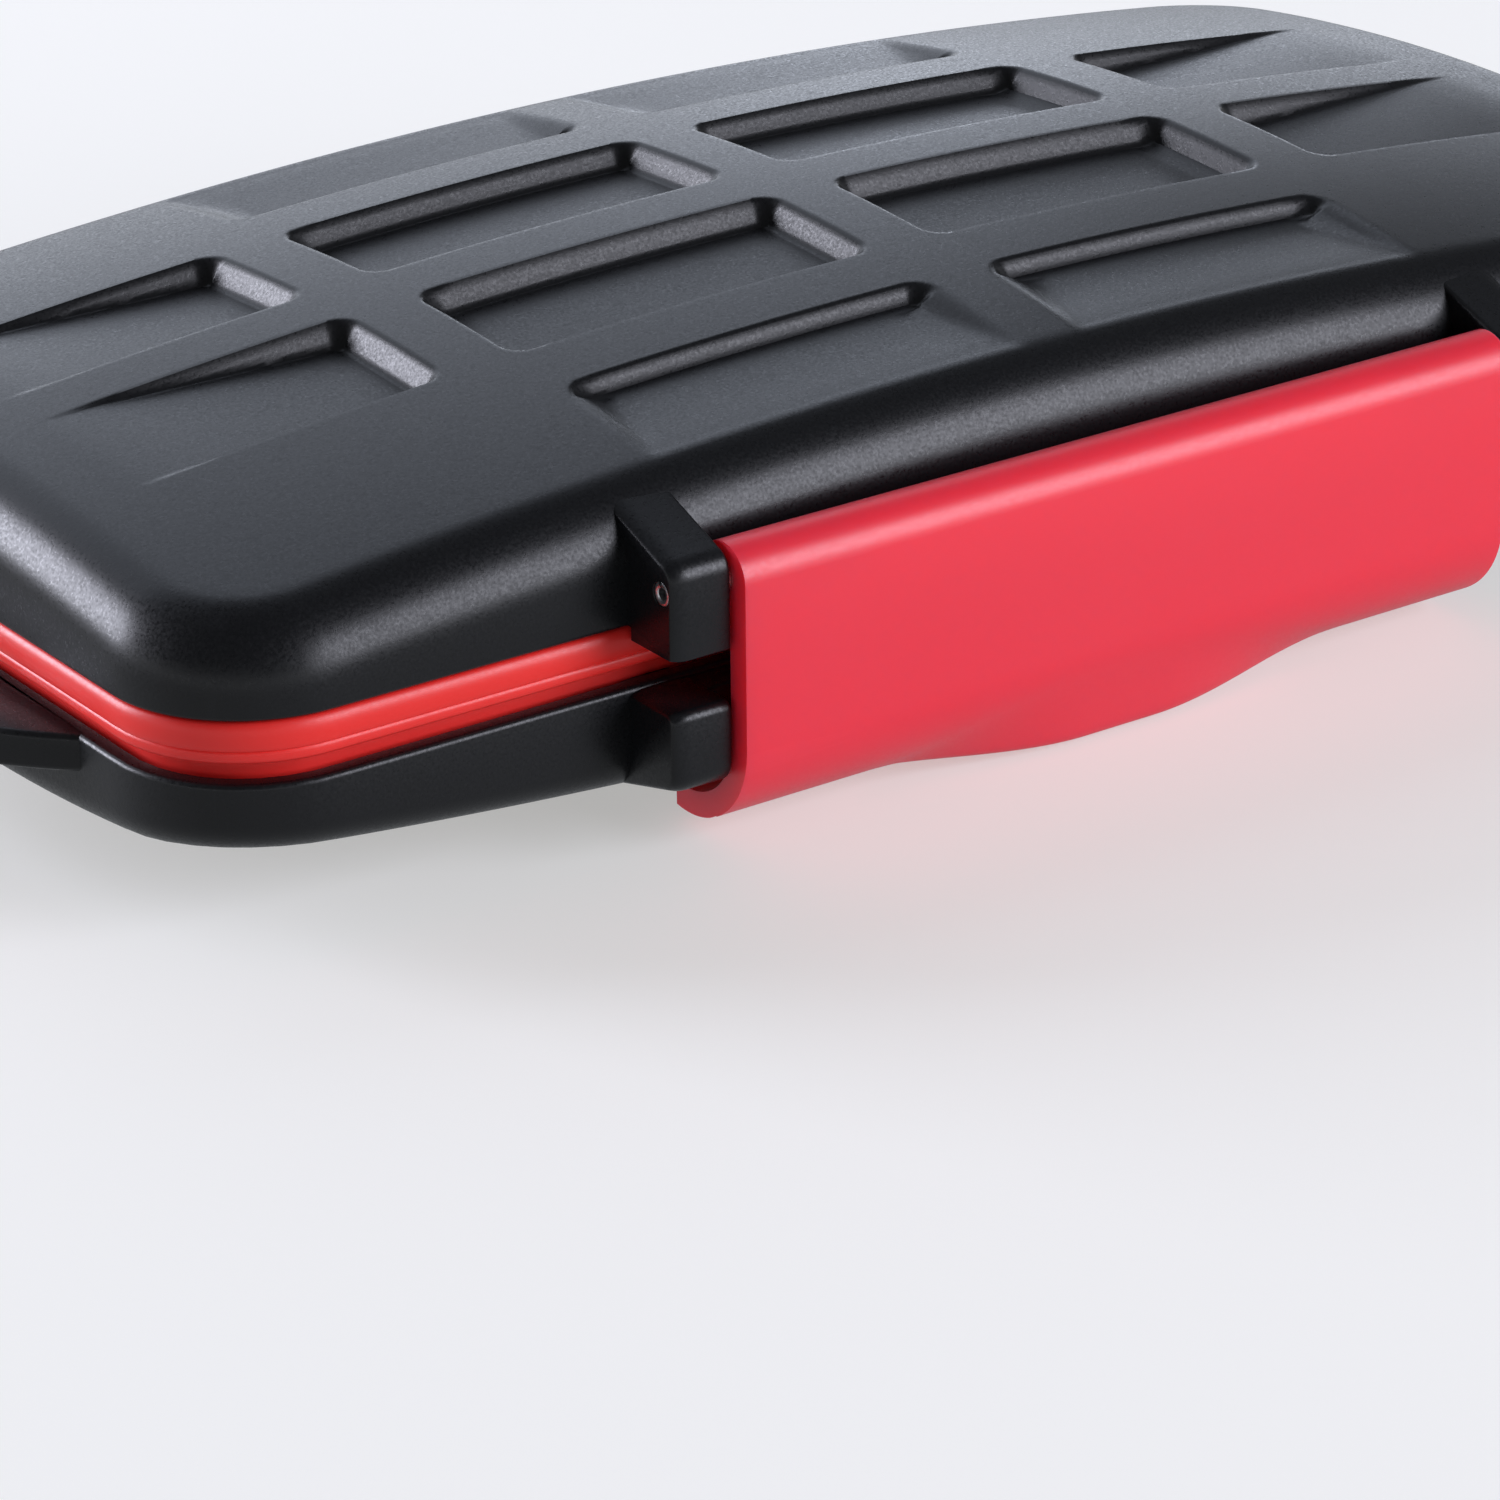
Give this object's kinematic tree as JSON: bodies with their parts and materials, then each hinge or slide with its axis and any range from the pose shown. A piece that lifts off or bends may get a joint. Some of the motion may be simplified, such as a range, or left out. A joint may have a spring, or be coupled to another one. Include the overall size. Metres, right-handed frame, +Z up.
{
  "type": "memory card case",
  "caption": "Hard crowned case for memory cards: two hinged shells with a seal between them, a wide hooked latch, card trays inside and a slotted lanyard tab at one end.",
  "frame": {"origin": "middle of the closed case's outer box, on the surface that it rests on", "axes": "+X along the case, away from the lanyard tab; +Y from the latch to the hinge; +Z up through the lid"},
  "size_m": [0.1524, 0.086, 0.0296],
  "materials": {
    "shell": "fine satin grain",
    "seal": "smooth satin",
    "tray": "matt",
    "latch": "satin",
    "pin": "plain"
  },
  "bodies": {
    "base": {"base_shell": "shell", "rim_seal": "seal", "base_tray": "tray", "hinge_pin_left": "pin", "hinge_pin_right": "pin"},
    "lid": {"lid_shell": "shell", "lid_tray": "tray", "latch_pin_left": "pin", "latch_pin_right": "pin"},
    "latch": {"latch": "latch"}
  },
  "joints": [
    {"name": "lid_hinge", "type": "hinge", "parent": "base", "child": "lid", "pos_m": [0, 0.04032, 0.0162], "axis": [-1, 0, 0], "range_deg": [0, 180]},
    {"name": "latch_hinge", "type": "hinge", "parent": "lid", "child": "latch", "pos_m": [0, -0.04052, 0.0198], "axis": [-1, 0, 0], "range_deg": [0, 120]}
  ]
}
